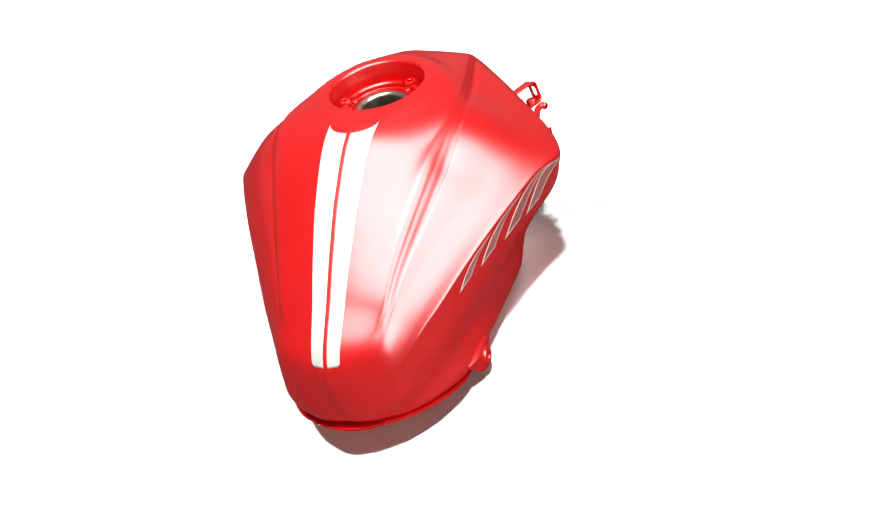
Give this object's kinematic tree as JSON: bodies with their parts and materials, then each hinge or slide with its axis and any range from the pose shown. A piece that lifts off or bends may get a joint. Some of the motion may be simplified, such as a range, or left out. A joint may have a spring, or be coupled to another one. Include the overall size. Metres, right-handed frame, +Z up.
{
  "type": "motorcycle fuel tank",
  "caption": "Red pressed-steel motorcycle fuel tank with an open round filler, a tunnelled pan for the frame tube, side ears, a strap bracket, a level sender and a fuel tap.",
  "frame": {"origin": "middle of the bounding box's base, on the floor under the tank", "axes": "+Y forward along the tank, +X to the rider's right, +Z up"},
  "size_m": [0.37, 0.4344, 0.2652],
  "materials": {
    "red_paint": "satin red paint on steel sheet, with twin white stripes",
    "bare_steel": "bare rolled steel",
    "zinc_steel": "zinc-plated steel",
    "cast_alloy": "sand-cast light alloy",
    "black_rubber": "matt black rubber",
    "black_plastic": "matt black plastic"
  },
  "bodies": {
    "tank": {"left_shell": "red_paint", "right_shell": "red_paint", "bottom_pan": "red_paint", "filler_dish": "red_paint", "cap_ring": "red_paint", "ear_left": "red_paint", "ear_boss_left": "red_paint", "clip_tab_left": "red_paint", "ear_right": "red_paint", "ear_boss_right": "red_paint", "clip_tab_right": "red_paint", "front_bracket": "red_paint", "bracket_nut": "red_paint", "vent_nipple": "red_paint", "rear_lug": "red_paint", "filler_neck": "bare_steel", "drain_tube": "zinc_steel", "rear_sleeve": "zinc_steel", "baffle": "zinc_steel", "sender_ring": "zinc_steel", "sender_body": "zinc_steel", "sender_screw_1": "zinc_steel", "sender_screw_2": "zinc_steel", "sender_screw_3": "zinc_steel", "sender_screw_4": "zinc_steel", "tap_boss": "zinc_steel", "tap_body": "cast_alloy", "rear_bush": "black_rubber", "sender_gasket": "black_rubber", "tap_gasket": "black_rubber", "tap_strainer": "black_plastic"},
    "float": {"float_arm": "zinc_steel"},
    "lever": {"tap_lever": "black_plastic"}
  },
  "joints": [
    {"name": "float_swing", "type": "hinge", "parent": "tank", "child": "float", "pos_m": [0, 0.0009, 0.1126], "axis": [0, 1, 0], "range_deg": [0, 65]},
    {"name": "tap_turn", "type": "hinge", "parent": "tank", "child": "lever", "pos_m": [-0.062, -0.1128, 0.0056], "axis": [0, 0, 1], "range_deg": [-90, 90]}
  ]
}
